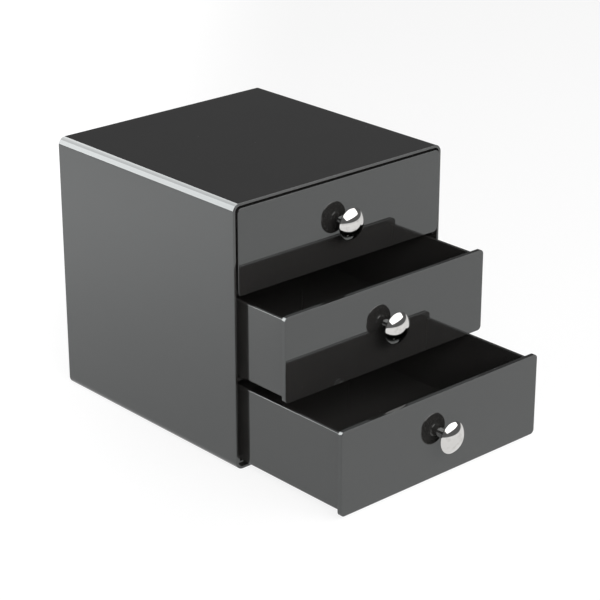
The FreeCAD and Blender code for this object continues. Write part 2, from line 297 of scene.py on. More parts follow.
@dataclass(frozen=True)
class Smudges:
    """Soft handling marks: their length in metres and how plain they are."""

    length: float
    amount: float


def socket_name(setting: str) -> str:
    """Name of the group input that takes a setting."""
    return setting.replace("_", " ").title()


class EffectGroup:
    """A shader node group in the making."""

    def __init__(self, name: str, settings: type, output: str) -> None:
        """Start a group whose first input is a position.

        Args:
            name: Name of the group.
            settings: Class of the effect's settings, each of which is a number input.
            output: Name of its one number output.
        """
        self.tree = bpy.data.node_groups.new(name, "ShaderNodeTree")
        sockets = self.tree.interface
        sockets.new_socket(name="Position", in_out="INPUT", socket_type="NodeSocketVector")
        for setting in fields(settings):
            sockets.new_socket(name=socket_name(setting.name), in_out="INPUT",
                               socket_type="NodeSocketFloat")
        sockets.new_socket(name=output, in_out="OUTPUT", socket_type="NodeSocketFloat")
        self.bench = NodeBench(self.tree)
        self.given = self.bench.add("NodeGroupInput").outputs
        self.result = self.bench.add("NodeGroupOutput").inputs[output]

    def counted_in(self, length: str) -> NodeSocket:
        """Position counted in one of the lengths given."""
        count = self.bench.sum_up("DIVIDE", 1.0, self.given[length])
        return self.bench.scaled(self.given["Position"], count)


class Effects:
    """Surface effects that several finishes share."""

    NOISE_MEAN: float = 0.5
    WAVE_DETAIL: float = 1.0
    PEEL_DETAIL: float = 2.0
    HAIRLINE_TURNS: Sequence[Sequence[float]] = ((0.35, 0.2, 0.6), (1.1, 0.5, -0.9))
    HAIRLINE_PATCHES: tuple[float, float] = (0.5, 0.66)
    SMUDGE_PATCHES: tuple[float, float] = (0.48, 0.7)
    SPECK_STEEPNESS: float = 3.0

    def __init__(self) -> None:
        """Build every group once."""
        self.ripple = self._ripple()
        self.hairlines = self._hairlines()
        self.dust = self._dust()
        self.smudges = self._smudges()

    def _ripple(self) -> NodeTree:
        """Height of moulding waves and of fine peel, in metres.

        Returns:
            The group's tree.
        """
        group = EffectGroup("moulding_ripple", Ripple, "Height")
        bench = group.bench
        heights = []
        for kind, detail in (("Wave", self.WAVE_DETAIL), ("Peel", self.PEEL_DETAIL)):
            wave = bench.noise(group.counted_in(f"{kind} Length"), detail)
            centred = bench.sum_up("SUBTRACT", wave, self.NOISE_MEAN)
            heights.append(bench.sum_up("MULTIPLY", centred, group.given[f"{kind} Depth"]))
        bench.feed(group.result, bench.sum_up("ADD", *heights))
        return group.tree

    def _hairlines(self) -> NodeTree:
        """Mask of fine scratches that run two ways and fade in and out.

        Returns:
            The group's tree.
        """
        group = EffectGroup("hairlines", Hairlines, "Mask")
        bench = group.bench
        lengthwise = bench.sum_up("DIVIDE", 1.0, group.given["Length"])
        crosswise = bench.sum_up("DIVIDE", 1.0, group.given["Spacing"])
        families = []
        for turn in self.HAIRLINE_TURNS:
            turned = bench.add("ShaderNodeMapping", vector_type="TEXTURE")
            turned.inputs["Rotation"].default_value = turn
            bench.feed(turned.inputs["Vector"], group.given["Position"])
            stretch = bench.add("ShaderNodeCombineXYZ")
            for target, count in zip(stretch.inputs, (lengthwise, crosswise, crosswise)):
                bench.feed(target, count)
            drawn = bench.add("ShaderNodeVectorMath", operation="MULTIPLY")
            bench.feed(drawn.inputs[0], turned.outputs["Vector"])
            bench.feed(drawn.inputs[1], stretch.outputs["Vector"])
            cloud = bench.noise(drawn.outputs["Vector"], detail=0.0)
            level = bench.sum_up("ABSOLUTE", bench.sum_up("SUBTRACT", cloud, self.NOISE_MEAN))
            distance = bench.sum_up("DIVIDE", level, group.given["Breadth"])
            families.append(bench.sum_up("SUBTRACT", 1.0, distance, clamp=True))
        both = bench.sum_up("MAXIMUM", *families)
        patches = bench.ramp(bench.noise(group.counted_in("Length")), *self.HAIRLINE_PATCHES)
        shown = bench.sum_up("MULTIPLY", both, patches)
        shown = bench.sum_up("MULTIPLY", shown, group.given["Amount"], clamp=True)
        bench.feed(group.result, shown)
        return group.tree

    def _dust(self) -> NodeTree:
        """Mask of small scattered specks.

        Returns:
            The group's tree.
        """
        group = EffectGroup("dust_specks", Dust, "Mask")
        bench = group.bench
        cells = bench.add("ShaderNodeTexVoronoi", feature="F1")
        cells.inputs["Scale"].default_value = 1.0
        bench.feed(cells.inputs["Vector"], group.counted_in("Cell"))
        lots = bench.add("ShaderNodeSeparateColor")
        bench.feed(lots.inputs["Color"], cells.outputs["Color"])
        picked = bench.sum_up("LESS_THAN", lots.outputs["Red"], group.given["Amount"])
        size = bench.sum_up("MULTIPLY", lots.outputs["Green"], group.given["Speck"])
        distance = bench.sum_up("DIVIDE", cells.outputs["Distance"], size)
        nearness = bench.sum_up("SUBTRACT", 1.0, distance)
        edge = bench.sum_up("MULTIPLY", nearness, self.SPECK_STEEPNESS, clamp=True)
        bench.feed(group.result, bench.sum_up("MULTIPLY", edge, picked))
        return group.tree

    def _smudges(self) -> NodeTree:
        """Mask of soft handling marks.

        Returns:
            The group's tree.
        """
        group = EffectGroup("smudges", Smudges, "Mask")
        bench = group.bench
        cloud = bench.noise(group.counted_in("Length"), detail=4.0, roughness=0.6)
        marks = bench.ramp(cloud, *self.SMUDGE_PATCHES)
        bench.feed(group.result, bench.sum_up("MULTIPLY", marks, group.given["Amount"]))
        return group.tree


# ---- Finishes ----


def new_material(name: str) -> tuple[NodeBench, Material, Node]:
    """Material with an empty Principled shader on its output.

    Args:
        name: Name of the material.

    Returns:
        The bench for its tree, the material and the shader node.
    """
    material = bpy.data.materials.new(name)
    material.use_nodes = True
    material.node_tree.nodes.clear()
    bench = NodeBench(material.node_tree)
    shader = bench.add("ShaderNodeBsdfPrincipled")
    output = bench.add("ShaderNodeOutputMaterial")
    bench.feed(output.inputs["Surface"], shader.outputs["BSDF"])
    return bench, material, shader


@dataclass(frozen=True)
class GlossPlastic:
    """Gloss black moulded plastic."""

    name: str
    base: Colour = (0.0265, 0.0250, 0.0237, 1.0)
    mottle: Colour = (0.0215, 0.0203, 0.0195, 1.0)
    mottle_length: float = 0.02
    tint: Colour = (0.95, 0.995, 1.0, 1.0)
    speck: Colour = (0.16, 0.155, 0.15, 1.0)
    refraction: float = 1.8
    roughness: float = 0.035
    smudge_roughness: float = 0.05
    scratch_roughness: float = 0.10
    dust_roughness: float = 0.5
    scratch_depth: float = 1.5e-7
    dust_height: float = 6.0e-6
    ripple: Ripple = Ripple()
    scratches: Hairlines = Hairlines(length=0.028, spacing=0.006, breadth=0.012, amount=0.35)
    dust: Dust = Dust(cell=0.0045, speck=0.075, amount=0.10)
    smudges: Smudges = Smudges(length=0.024, amount=0.6)

    def make(self, effects: Effects) -> Material:
        """Build the material.

        Args:
            effects: Shared effect groups.

        Returns:
            The finished material.
        """
        bench, material, shader = new_material(self.name)
        position = bench.position()
        ripple = bench.place_effect(effects.ripple, position, self.ripple)
        lines = bench.place_effect(effects.hairlines, position, self.scratches)
        dust = bench.place_effect(effects.dust, position, self.dust)
        smudge = bench.place_effect(effects.smudges, position, self.smudges)

        cloud = bench.noise(bench.scaled(position, 1 / self.mottle_length), detail=3.0)
        colour = bench.blend(cloud, self.base, self.mottle)
        bench.feed(shader.inputs["Base Color"], bench.blend(dust, colour, self.speck))
        rough = bench.plus(self.roughness, smudge, self.smudge_roughness)
        rough = bench.plus(rough, lines, self.scratch_roughness)
        rough = bench.plus(rough, dust, self.dust_roughness)
        bench.feed(shader.inputs["Roughness"], rough)
        shader.inputs["IOR"].default_value = self.refraction
        shader.inputs["Specular Tint"].default_value = self.tint
        height = bench.plus(ripple, lines, -self.scratch_depth)
        bench.emboss(shader, bench.plus(height, dust, self.dust_height))
        return material


@dataclass(frozen=True)
class Chrome:
    """Bright chrome plate on a turned knob, with painted shade on its flat back."""

    name: str
    base: Colour = (0.70, 0.688, 0.672, 1.0)
    haze: Colour = (0.57, 0.553, 0.532, 1.0)
    # painted shade: near-black colour for the knob's flat back, which faces the black front plate
    back: Colour = (0.10, 0.098, 0.095, 1.0)
    speck: Colour = (0.35, 0.34, 0.32, 1.0)
    roughness: float = 0.035
    smudge_roughness: float = 0.07
    scratch_roughness: float = 0.12
    back_roughness: float = 0.22
    dust_roughness: float = 0.5
    turning_pitch: float = 0.00022
    turning_depth: float = 4.0e-8
    scratch_depth: float = 1.0e-7
    scratches: Hairlines = Hairlines(length=0.006, spacing=0.0016, breadth=0.02, amount=0.5)
    dust: Dust = Dust(cell=0.0030, speck=0.06, amount=0.12)
    smudges: Smudges = Smudges(length=0.005, amount=0.8)

    def make(self, effects: Effects) -> Material:
        """Build the material.

        Args:
            effects: Shared effect groups.

        Returns:
            The finished material.
        """
        bench, material, shader = new_material(self.name)
        position = bench.position()
        smudge = bench.place_effect(effects.smudges, position, self.smudges)
        lines = bench.place_effect(effects.hairlines, position, self.scratches)
        dust = bench.place_effect(effects.dust, position, self.dust)
        radius, rear = (bench.add("ShaderNodeAttribute", attribute_name=kind.value).outputs["Fac"]
                        for kind in (VertexValue.RADIUS, VertexValue.BACK))

        shader.inputs["Metallic"].default_value = 1.0
        plate = bench.blend(smudge, self.base, self.haze)
        # painted shade: the flat back takes the dark back colour
        plate = bench.blend(rear, plate, self.back)
        bench.feed(shader.inputs["Base Color"], bench.blend(dust, plate, self.speck))
        rough = bench.plus(self.roughness, smudge, self.smudge_roughness)
        rough = bench.plus(rough, lines, self.scratch_roughness)
        rough = bench.plus(rough, rear, self.back_roughness)
        rough = bench.plus(rough, dust, self.dust_roughness)
        bench.feed(shader.inputs["Roughness"], rough)
        rings = bench.add("ShaderNodeTexNoise", noise_dimensions="1D")
        rings.inputs["Scale"].default_value = 1.0
        rings.inputs["Detail"].default_value = 2.0
        bench.feed(rings.inputs["W"], bench.sum_up("DIVIDE", radius, self.turning_pitch))
        height = bench.sum_up("MULTIPLY", rings.outputs["Fac"], self.turning_depth)
        bench.emboss(shader, bench.plus(height, lines, -self.scratch_depth))
        return material


@dataclass(frozen=True)
class ZincSteel:
    """Zinc-plated steel of the screws and washers."""

    name: str
    bright: Colour = (0.66, 0.67, 0.68, 1.0)
    dull: Colour = (0.46, 0.46, 0.44, 1.0)
    roughness: float = 0.26
    spangle_roughness: float = 0.12
    smudge_roughness: float = 0.15
    spangle_length: float = 0.0006
    spangle_edges: tuple[float, float] = (0.35, 0.65)
    spangle_height: float = 3.0e-6
    scratch_depth: float = 3.0e-6
    scratches: Hairlines = Hairlines(length=0.003, spacing=0.0006, breadth=0.03, amount=0.8)
    smudges: Smudges = Smudges(length=0.003, amount=0.8)

    def make(self, effects: Effects) -> Material:
        """Build the material.

        Args:
            effects: Shared effect groups.

        Returns:
            The finished material.
        """
        bench, material, shader = new_material(self.name)
        position = bench.position()
        crystals = bench.scaled(position, 1 / self.spangle_length)
        spangle = bench.noise(crystals, detail=3.0, roughness=0.6)
        lines = bench.place_effect(effects.hairlines, position, self.scratches)
        smudge = bench.place_effect(effects.smudges, position, self.smudges)

        shader.inputs["Metallic"].default_value = 1.0
        colour = bench.blend(bench.ramp(spangle, *self.spangle_edges), self.dull, self.bright)
        bench.feed(shader.inputs["Base Color"], bench.blend(smudge, colour, self.dull))
        rough = bench.plus(self.roughness, spangle, self.spangle_roughness)
        rough = bench.plus(rough, smudge, self.smudge_roughness)
        bench.feed(shader.inputs["Roughness"], rough)
        height = bench.sum_up("MULTIPLY", spangle, self.spangle_height)
        bench.emboss(shader, bench.plus(height, lines, -self.scratch_depth))
        return material


@dataclass(frozen=True)
class StudioPaper:
    """Seamless white paper that stays white to the eye and in reflections, keeps a shadow, and
    glows with painted light towards the left and the rear.
    """

    name: str = "studio_paper"
    light: Colour = (0.90, 0.90, 0.90, 1.0)
    shade: Colour = (0.87, 0.87, 0.87, 1.0)
    fibre_length: float = 0.004
    roughness: float = 0.9
    gloss: float = 0.1
    white_share: float = 0.80
    white_strength: float = 0.93
    camera_gain: float = 0.14
    # painted light: the floor's glow rises to this level towards the left and the rear
    painted_light_strength: float = 1.55
    painted_light_from: float = 0.0
    painted_light_to: float = 0.50

    def make(self) -> Material:
        """Build the material.

        Returns:
            The finished material.
        """
        bench, material, shader = new_material(self.name)
        position = bench.position()
        fibres = bench.scaled(position, 1 / self.fibre_length)
        cloud = bench.noise(fibres, detail=4.0, roughness=0.6)
        bench.feed(shader.inputs["Base Color"], bench.blend(cloud, self.light, self.shade))
        shader.inputs["Roughness"].default_value = self.roughness
        shader.inputs["Specular IOR Level"].default_value = self.gloss

        path = bench.add("ShaderNodeLightPath").outputs
        seen = bench.sum_up("MAXIMUM", path["Is Camera Ray"], path["Is Glossy Ray"])
        seen = bench.sum_up("MAXIMUM", seen, path["Is Transmission Ray"])
        glow = bench.add("ShaderNodeEmission")
        # glow level, with painted light rising towards the left and the rear
        level = self.glow_with_painted_light_at(bench, position)
        level = bench.plus(level, path["Is Camera Ray"], self.camera_gain)
        bench.feed(glow.inputs["Strength"], level)
        mix = bench.add("ShaderNodeMixShader")
        bench.feed(mix.inputs["Fac"], bench.sum_up("MULTIPLY", seen, self.white_share))
        bench.feed(mix.inputs[1], shader.outputs["BSDF"])
        bench.feed(mix.inputs[2], glow.outputs["Emission"])
        output = next(node for node in bench.tree.nodes
                      if node.bl_idname == "ShaderNodeOutputMaterial")
        bench.feed(output.inputs["Surface"], mix.outputs["Shader"])
        return material

    def glow_with_painted_light_at(self, bench: NodeBench, position: NodeSocket) -> NodeSocket:
        """White level with painted light that rises towards the left and the rear.

        Args:
            bench: Bench of the material's tree.
            position: Place on the paper, in metres.

        Returns:
            The level.
        """
        parts = bench.add("ShaderNodeSeparateXYZ")
        bench.feed(parts.inputs["Vector"], position)
        # painted light: brighter towards the left and the rear
        rearward = bench.sum_up("SUBTRACT", parts.outputs["Y"], parts.outputs["X"])
        share = bench.ramp(bench.sum_up("MULTIPLY", rearward, math.sqrt(0.5)),
                           self.painted_light_from, self.painted_light_to)
        painted_light_gain = self.painted_light_strength - self.white_strength
        return bench.plus(self.white_strength, share, painted_light_gain)


# ---- Mesh helpers ----

EdgeTest = Callable[[BMEdge], bool]


@dataclass(frozen=True)
class Rounding:
    """How an edge is rounded over: how far in from it, and with how many flats."""

    reach: float
    flats: int


def add_box(bm: BMesh, low: Vector, high: Vector) -> None:
    """Add a closed box to a mesh.

    Args:
        bm: Mesh to change.
        low: Lowest corner.
        high: Highest corner.
    """
    verts = bmesh.ops.create_cube(bm, size=1.0)["verts"]
    bmesh.ops.scale(bm, vec=high - low, verts=verts)
    bmesh.ops.translate(bm, vec=(low + high) / 2, verts=verts)


def box_mesh(low: Vector, high: Vector) -> BMesh:
    """Closed box between two corners.

    Args:
        low: Lowest corner.
        high: Highest corner.

    Returns:
        Its mesh.
    """
    bm = bmesh.new()
    add_box(bm, low, high)
    return bm


def runs_along(edge: BMEdge, axis: Axis) -> bool:
    """Whether an edge is parallel to an axis."""
    step = edge.verts[1].co - edge.verts[0].co
    return abs(abs(step[axis.value]) - step.length) < NEAR


def lies_at(edge: BMEdge, axis: Axis, place: float) -> bool:
    """Whether both ends of an edge lie at one place along an axis."""
    return all(abs(vert.co[axis.value] - place) < NEAR for vert in edge.verts)


def is_sharp(edge: BMEdge) -> bool:
    """Whether the two faces at an edge meet at more than a slight angle."""
    return len(edge.link_faces) == 2 and edge.calc_face_angle(0.0) > SHARP


def faces_towards(bm: BMesh, axis: Axis, sign: int) -> list[BMFace]:
    """Faces that look straight along an axis, or against it where the sign is -1."""
    bm.normal_update()
    return [face for face in bm.faces if face.normal[axis.value] * sign > STRAIGHT]


def round_over(bm: BMesh, rounding: Rounding, test: EdgeTest) -> None:
    """Bevel the edges that pass a test.

    Args:
        bm: Mesh to change.
        rounding: Size of the bevel.
        test: Which edges to take.
    """
    edges = [edge for edge in bm.edges if test(edge)]
    if not edges:
        raise ValueError("no edge to round over")
    bmesh.ops.bevel(bm, geom=edges, offset=rounding.reach, offset_type="OFFSET", affect="EDGES",
                    segments=rounding.flats, profile=0.5, material=-1)


def raise_faces(bm: BMesh, faces: Sequence[BMFace], step: Vector) -> list[BMVert]:
    """Extrude a region of faces and move it.

    Args:
        bm: Mesh to change.
        faces: The region.
        step: How far it moves.

    Returns:
        The region's new vertices.
    """
    grown = bmesh.ops.extrude_face_region(bm, geom=list(faces))["geom"]
    bmesh.ops.delete(bm, geom=list(faces), context="FACES")
    verts = [item for item in grown if isinstance(item, BMVert)]
    bmesh.ops.translate(bm, vec=step, verts=verts)
    return verts


def cut_across(bm: BMesh, axis: Axis, place: float, faces: Iterable[BMFace] | None = None) -> None:
    """Cut faces along a plane across an axis.

    Args:
        bm: Mesh to change.
        axis: The axis.
        place: Where the plane stands on it.
        faces: The faces to cut, or all of them.
    """
    chosen = list(bm.faces if faces is None else faces)
    edges = {edge for face in chosen for edge in face.edges}
    verts = {vert for face in chosen for vert in face.verts}
    normal = Vector((0.0, 0.0, 0.0))
    normal[axis.value] = 1.0
    bmesh.ops.bisect_plane(bm, geom=[*verts, *edges, *chosen], dist=MERGE,
                           plane_co=normal * place, plane_no=normal)


class Turning:
    """Half outline drawn vertex by vertex in radius and depth, then turned about the Y axis."""

    def __init__(self, radius: float, depth: float) -> None:
        """Start the outline at a distance from the axis and a depth along -Y."""
        self.bm = bmesh.new()
        self.tip = self.bm.verts.new((radius, -depth, 0.0))

    def line_to(self, radius: float, depth: float) -> "Turning":
        """Draw a straight line on from the last point.

        Args:
            radius: Radius of its end.
            depth: Depth of its end.

        Returns:
            This outline.
        """
        self.tip = bmesh.ops.extrude_vert_indiv(self.bm, verts=[self.tip])["verts"][0]
        step = Vector((radius, -depth, 0.0)) - self.tip.co
        bmesh.ops.translate(self.bm, vec=step, verts=[self.tip])
        return self

    def arc(self, radius: float, depth: float, degrees: float, steps: int) -> "Turning":
        """Draw an arc on from the last point.

        Args:
            radius: Radius of its centre.
            depth: Depth of its centre.
            degrees: How far it turns about +Z.
            steps: Number of edges in it.

        Returns:
            This outline.
        """
        last = bmesh.ops.spin(
            self.bm, geom=[self.tip], cent=(radius, -depth, 0.0), axis=(0.0, 0.0, 1.0),
            angle=math.radians(degrees), steps=steps, use_duplicate=False)["geom_last"]
        self.tip = next(item for item in last if isinstance(item, BMVert))
        return self

    def turn(self, steps: int) -> BMesh:
        """Turn the outline all the way round.

        Args:
            steps: Number of flats round the axis.

        Returns:
            The closed mesh about the Y axis.
        """
        bmesh.ops.spin(self.bm, geom=[*self.bm.verts, *self.bm.edges], cent=(0.0, 0.0, 0.0),
                       axis=(0.0, 1.0, 0.0), angle=math.tau, steps=steps, use_merge=True,
                       use_duplicate=False)
        bmesh.ops.remove_doubles(self.bm, verts=self.bm.verts, dist=MERGE)
        bmesh.ops.recalc_face_normals(self.bm, faces=self.bm.faces)
        return self.bm


# ---- Sub-assemblies ----


@dataclass
class SubAssembly:
    """What every sub-assembly shares: its body, and how a mesh becomes a dressed piece."""

    body: Body
    face_weight: ClassVar[int] = 100

    def dress(self, bm: BMesh, name: str, material: Material, slot: Slot, node: str) -> Object:
        """Turn a mesh into a finished piece that stands for a CAD node.

        Args:
            bm: The mesh, freed afterwards.
            name: Name of the piece.
            material: Its finish.
            slot: Material slot; not used.
            node: CAD node that it stands for.

        Returns:
            The piece.
        """
        bm.normal_update()
        mesh = bpy.data.meshes.new(name)
        bm.to_mesh(mesh)
        bm.free()
        mesh.shade_smooth()
        mesh.set_sharp_from_angle(angle=CREASE)
        mesh.materials.append(material)
        piece = bpy.data.objects.new(name, mesh)
        bpy.context.scene.collection.objects.link(piece)
        even = piece.modifiers.new("even_normals", "WEIGHTED_NORMAL")
        even.mode = "FACE_AREA"
        even.weight = self.face_weight
        even.keep_sharp = True
        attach(piece, self.body.value)
        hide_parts(node)
        return piece


@dataclass
class Case(SubAssembly):
    """Rounded sleeve with its rails, back plate and two divider shelves."""

    shell_finish: Material
    shelf_finish: Material
    wall: float = 1.8 * MM
    shelf_thick: float = 2.0 * MM
    guide_height: float = 4.0 * MM
    guide_face: float = 77.75 * MM
    runner_edge: float = 69.75 * MM
    runner_top: float = 4.1 * MM
    ledge_edge: float = 79.15 * MM
    ledge_height: float = 2.0 * MM
    bond_gap: float = 0.1 * MM
    root: float = 0.4 * MM
    corner: Rounding = Rounding(5.0 * MM, 10)
    rim: Rounding = Rounding(0.4 * MM, 3)
    back_corner: Rounding = Rounding(3.1 * MM, 6)
    small_edge: Rounding = Rounding(0.25 * MM, 2)
    lead_in: Rounding = Rounding(1.0 * MM, 1)

    def build(self) -> list[Object]:
        """Make every piece of the case."""
        return [self.make_shell(), self.make_runners(), self.make_ledges(), self.make_back(),
                self.make_shelf("shelf_lower"), self.make_shelf("shelf_upper")]

    def make_shell(self) -> Object:
        """Sleeve: a block with rounded long edges, opened from end to end.

        Returns:
            The sleeve.
        """
        low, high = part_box("case_shell")
        bm = box_mesh(low, high)
        round_over(bm, self.corner, lambda edge: runs_along(edge, Axis.Y))
        ends = faces_towards(bm, Axis.Y, -1) + faces_towards(bm, Axis.Y, 1)
        bmesh.ops.inset_region(bm, faces=ends, thickness=self.wall, use_even_offset=True,
                               use_boundary=True)
        mouths = {edge for face in ends for edge in face.edges}
        bmesh.ops.delete(bm, geom=ends, context="FACES_ONLY")
        bmesh.ops.bridge_loops(bm, edges=list(mouths))
        bmesh.ops.recalc_face_normals(bm, faces=bm.faces)
        round_over(bm, self.rim, lambda edge: is_sharp(edge) and (
            lies_at(edge, Axis.Y, low.y) or lies_at(edge, Axis.Y, high.y)))
        return self.dress(bm, "case_sleeve", self.shell_finish, Slot.CASE, "case_shell")

    def rail_span(self) -> tuple[float, float]:
        """Front and rear ends of the rails along Y."""
        low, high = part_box("shelf_lower")
        return low.y, high.y

    def make_runners(self) -> Object:
        """Pair of floor runners with a guide standing along each.

        Returns:
            Both runners as one piece.
        """
        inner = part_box("case_shell")[1].x - self.wall
        front, rear = self.rail_span()
        bm = box_mesh(Vector((self.runner_edge, front, self.wall - self.root)),
                      Vector((inner + self.root, rear, self.runner_top)))
        cut_across(bm, Axis.X, self.guide_face)
        strip = [face for face in faces_towards(bm, Axis.Z, 1)
                 if face.calc_center_median().x > self.guide_face]
        raise_faces(bm, strip, Vector((0.0, 0.0, self.guide_height)))
        bmesh.ops.recalc_face_normals(bm, faces=bm.faces)
        round_over(bm, self.small_edge, is_sharp)
        self.mirror_pair(bm)
        return self.dress(bm, "case_runners", self.shell_finish, Slot.CASE, "case_shell")

    def make_ledges(self) -> Object:
        """Two pairs of ledges that the shelves are bonded to.

        Returns:
            All four ledges as one piece.
        """
        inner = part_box("case_shell")[1].x - self.wall
        front, rear = self.rail_span()
        bm = bmesh.new()
        for node in ("shelf_lower", "shelf_upper"):
            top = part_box(node)[0].z - self.bond_gap
            add_box(bm, Vector((self.ledge_edge, front, top - self.ledge_height)),
                    Vector((inner + self.root, rear, top)))
        round_over(bm, self.small_edge, is_sharp)
        self.mirror_pair(bm)
        return self.dress(bm, "case_ledges", self.shell_finish, Slot.CASE, "case_shell")

    @staticmethod
    def mirror_pair(bm: BMesh) -> None:
        """Add the mirror image of a mesh across the middle plane."""
        bmesh.ops.mirror(bm, geom=[*bm.verts, *bm.edges, *bm.faces], matrix=Matrix.Identity(4),
                         merge_dist=MERGE, axis="X")
        bmesh.ops.recalc_face_normals(bm, faces=bm.faces)

    def make_back(self) -> Object:
        """Flat plate set into the rear end of the sleeve.

        Returns:
            The plate.
        """
        low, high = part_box("back_panel")
        bm = box_mesh(low, high)
        round_over(bm, self.back_corner, lambda edge: runs_along(edge, Axis.Y))
        round_over(bm, self.small_edge, is_sharp)
        return self.dress(bm, "case_back", self.shell_finish, Slot.CASE, "back_panel")

    def make_shelf(self, node: str) -> Object:
        """Divider plate with a guide standing along each side.

        Args:
            node: CAD node of the shelf.

        Returns:
            The shelf.
        """
        low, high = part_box(node)
        bm = box_mesh(low, Vector((high.x, high.y, low.z + self.shelf_thick)))
        for side in (-1, 1):
            cut_across(bm, Axis.X, side * self.guide_face)
        strips = [face for face in faces_towards(bm, Axis.Z, 1)
                  if abs(face.calc_center_median().x) > self.guide_face]
        raise_faces(bm, strips, Vector((0.0, 0.0, self.guide_height)))
        bmesh.ops.recalc_face_normals(bm, faces=bm.faces)
        round_over(bm, self.lead_in, lambda edge: (
            runs_along(edge, Axis.Z) and lies_at(edge, Axis.Y, low.y) and is_sharp(edge)
            and abs(abs(edge.verts[0].co.x) - self.guide_face) < NEAR))
        round_over(bm, self.small_edge, is_sharp)
        return self.dress(bm, f"{node}_plate", self.shelf_finish, Slot.SHELF, node)


@dataclass
class Drawer(SubAssembly):
    """Tray, front plate, knob, knob screw and washer of one drawer."""

    place: str
    tray_finish: Material
    front_finish: Material
    knob_finish: Material
    screw_finish: Material
    wall: float = 2.0 * MM
    floor: float = 2.0 * MM
    rear_corner: Rounding = Rounding(3.0 * MM, 8)
    inner_corner: Rounding = Rounding(1.0 * MM, 8)
    lower_edge: Rounding = Rounding(1.2 * MM, 4)
    floor_fillet: Rounding = Rounding(0.8 * MM, 4)
    tray_rim: Rounding = Rounding(0.35 * MM, 3)
    front_corner: Rounding = Rounding(2.8 * MM, 10)
    front_edge: Rounding = Rounding(0.35 * MM, 4)
    front_rear_edge: Rounding = Rounding(0.2 * MM, 2)
    knob_neck: float = 3.0 * MM
    knob_back: float = 7.2 * MM
    knob_rim: float = 0.7 * MM
    knob_flare: float = 1.5 * MM
    knob_root: float = 0.3 * MM
    knob_flats: int = 128
    flare_steps: int = 6
    rim_steps: int = 14
    dome_steps: int = 24
    screw_flats: int = 48
    head_height: float = 2.4 * MM
    head_round: float = 0.9 * MM
    head_steps: int = 6
    shank: float = 2.0 * MM
    shank_tip: float = 0.5 * MM
    recess_half_length: float = 2.0 * MM
    recess_half_width: float = 0.5 * MM
    recess_depth: float = 1.4 * MM
    recess_taper: float = 0.7
    washer_play: float = 0.25 * MM
    washer_edge: Rounding = Rounding(0.15 * MM, 2)

    def build(self) -> list[Object]:
        """Make every piece of the drawer."""
        return [self.make_tray(), self.make_front(), self.make_knob(), self.make_screw(),
                self.make_washer()]

    def make_tray(self) -> Object:
        """Open box with rounded rear corners, a rounded rim and a soft floor joint.

        Returns:
            The tray.
        """
        node = f"tray_{self.place}"
        low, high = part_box(node)
        bm = box_mesh(low, high)
        round_over(bm, self.rear_corner, lambda edge: (
            runs_along(edge, Axis.Z) and lies_at(edge, Axis.Y, high.y)))
        top = faces_towards(bm, Axis.Z, 1)
        bmesh.ops.inset_region(bm, faces=top, thickness=self.wall, use_even_offset=True)
        raise_faces(bm, top, Vector((0.0, 0.0, low.z + self.floor - high.z)))
        bmesh.ops.recalc_face_normals(bm, faces=bm.faces)
        inner_front = low.y + self.wall
        round_over(bm, self.inner_corner, lambda edge: (
            runs_along(edge, Axis.Z) and lies_at(edge, Axis.Y, inner_front) and is_sharp(edge)))
        round_over(bm, self.floor_fillet, lambda edge: (
            lies_at(edge, Axis.Z, low.z + self.floor) and is_sharp(edge)))
        round_over(bm, self.lower_edge, lambda edge: (
            lies_at(edge, Axis.Z, low.z) and is_sharp(edge) and not lies_at(edge, Axis.Y, low.y)))
        round_over(bm, self.tray_rim, lambda edge: (
            lies_at(edge, Axis.Z, high.z) and is_sharp(edge) and not lies_at(edge, Axis.Y, low.y)))
        return self.dress(bm, f"{node}_box", self.tray_finish, Slot.TRAY, node)

    def make_front(self) -> Object:
        """Front plate with rounded corners and softened face edges.

        Returns:
            The front.
        """
        node = f"front_{self.place}"
        low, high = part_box(node)
        bm = box_mesh(low, high)
        round_over(bm, self.front_corner, lambda edge: runs_along(edge, Axis.Y))
        round_over(bm, self.front_edge, lambda edge: lies_at(edge, Axis.Y, low.y))
        round_over(bm, self.front_rear_edge, lambda edge: (
            lies_at(edge, Axis.Y, high.y) and is_sharp(edge)))
        return self.dress(bm, f"{node}_plate", self.front_finish, Slot.FRONT, node)

    def make_knob(self) -> Object:
        """Turned mushroom knob: neck, flare, flat back, round rim and domed face.

        Returns:
            The knob.
        """
        node = f"knob_{self.place}"
        low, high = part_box(node)
        radius = (high.x - low.x) / 2
        reach = high.y - low.y
        rim_radius = radius - self.knob_rim
        rim_depth = self.knob_back + self.knob_rim
        rise = reach - rim_depth
        dome = (rim_radius ** 2 + rise ** 2 - self.knob_rim ** 2) / (2 * (rise - self.knob_rim))
        cap = math.degrees(math.atan2(rim_radius, rim_depth - (reach - dome)))

        outline = Turning(0.0, -self.knob_root)
        outline.line_to(self.knob_neck, -self.knob_root)
        outline.line_to(self.knob_neck, self.knob_back - self.knob_flare)
        outline.arc(self.knob_neck + self.knob_flare, self.knob_back - self.knob_flare,
                    QUARTER_TURN, self.flare_steps)
        outline.line_to(rim_radius, self.knob_back)
        outline.arc(rim_radius, rim_depth, cap - HALF_TURN, self.rim_steps)
        outline.arc(0.0, reach - dome, -cap, self.dome_steps)
        bm = outline.turn(self.knob_flats)
        radii = [math.hypot(vert.co.x, vert.co.z) for vert in bm.verts]
        # marks the flat back, which gets painted shade and a rougher finish
        backs = [float(abs(abs(vert.co.y) - self.knob_back) < NEAR) for vert in bm.verts]
        self.seat(bm, high.y, low, high)
        piece = self.dress(bm, f"{node}_turned", self.knob_finish, Slot.KNOB, node)
        for kind, values in ((VertexValue.RADIUS, radii), (VertexValue.BACK, backs)):
            attribute = piece.data.attributes.new(kind.value, "FLOAT", "POINT")
            attribute.data.foreach_set("value", values)
        return piece

